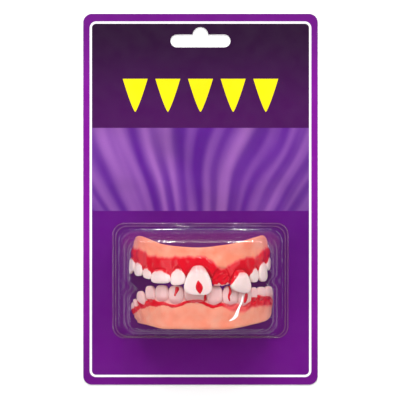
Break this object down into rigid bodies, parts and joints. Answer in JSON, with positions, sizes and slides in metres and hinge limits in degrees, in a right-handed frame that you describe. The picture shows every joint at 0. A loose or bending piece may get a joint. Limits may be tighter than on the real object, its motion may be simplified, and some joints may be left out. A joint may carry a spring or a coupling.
{
  "type": "vampire fang denture in a blister on a card",
  "caption": "Soft upper and lower vampire arches with a fang and a broken tooth, held in a clear formed blister on a flat hanging card.",
  "frame": {"origin": "centre of the card's back face, on the surface that the pack lies on", "axes": "+X to the card's right, +Y to its top edge with the hanging slot, +Z out of its printed face towards the teeth"},
  "size_m": [0.105, 0.166, 0.0378],
  "materials": {
    "card": "printed and varnished board, violet with a purple border and a white line",
    "blister": "clear thin formed sheet, glossy",
    "gum": "soft vinyl, salmon pink, satin, with red paint along the teeth",
    "tooth": "soft vinyl, pinkish white, glossy",
    "blood": "thick glossy red paint"
  },
  "bodies": {
    "root": {"card": "card", "blister": "blister", "upper_gum": "gum", "upper_tooth_01": "tooth", "upper_tooth_02": "tooth", "upper_tooth_03": "tooth", "upper_tooth_04": "tooth", "upper_tooth_05": "tooth", "upper_tooth_06": "tooth", "upper_big_incisor": "tooth", "upper_broken_tooth": "blood", "upper_fang": "tooth", "upper_tooth_10": "tooth", "upper_tooth_11": "tooth", "upper_tooth_12": "tooth", "upper_tooth_13": "tooth", "lower_gum": "gum", "lower_tooth_01": "tooth", "lower_tooth_02": "tooth", "lower_tooth_03": "tooth", "lower_tooth_04": "tooth", "lower_tooth_05": "tooth", "lower_tooth_06": "tooth", "lower_tooth_07": "tooth", "lower_tooth_08": "tooth", "lower_tooth_09": "tooth", "lower_tooth_10": "tooth", "lower_tooth_11": "tooth", "lower_tooth_12": "tooth", "lower_tooth_13": "tooth", "lower_tooth_14": "tooth", "lower_tooth_15": "tooth"}
  },
  "joints": []
}
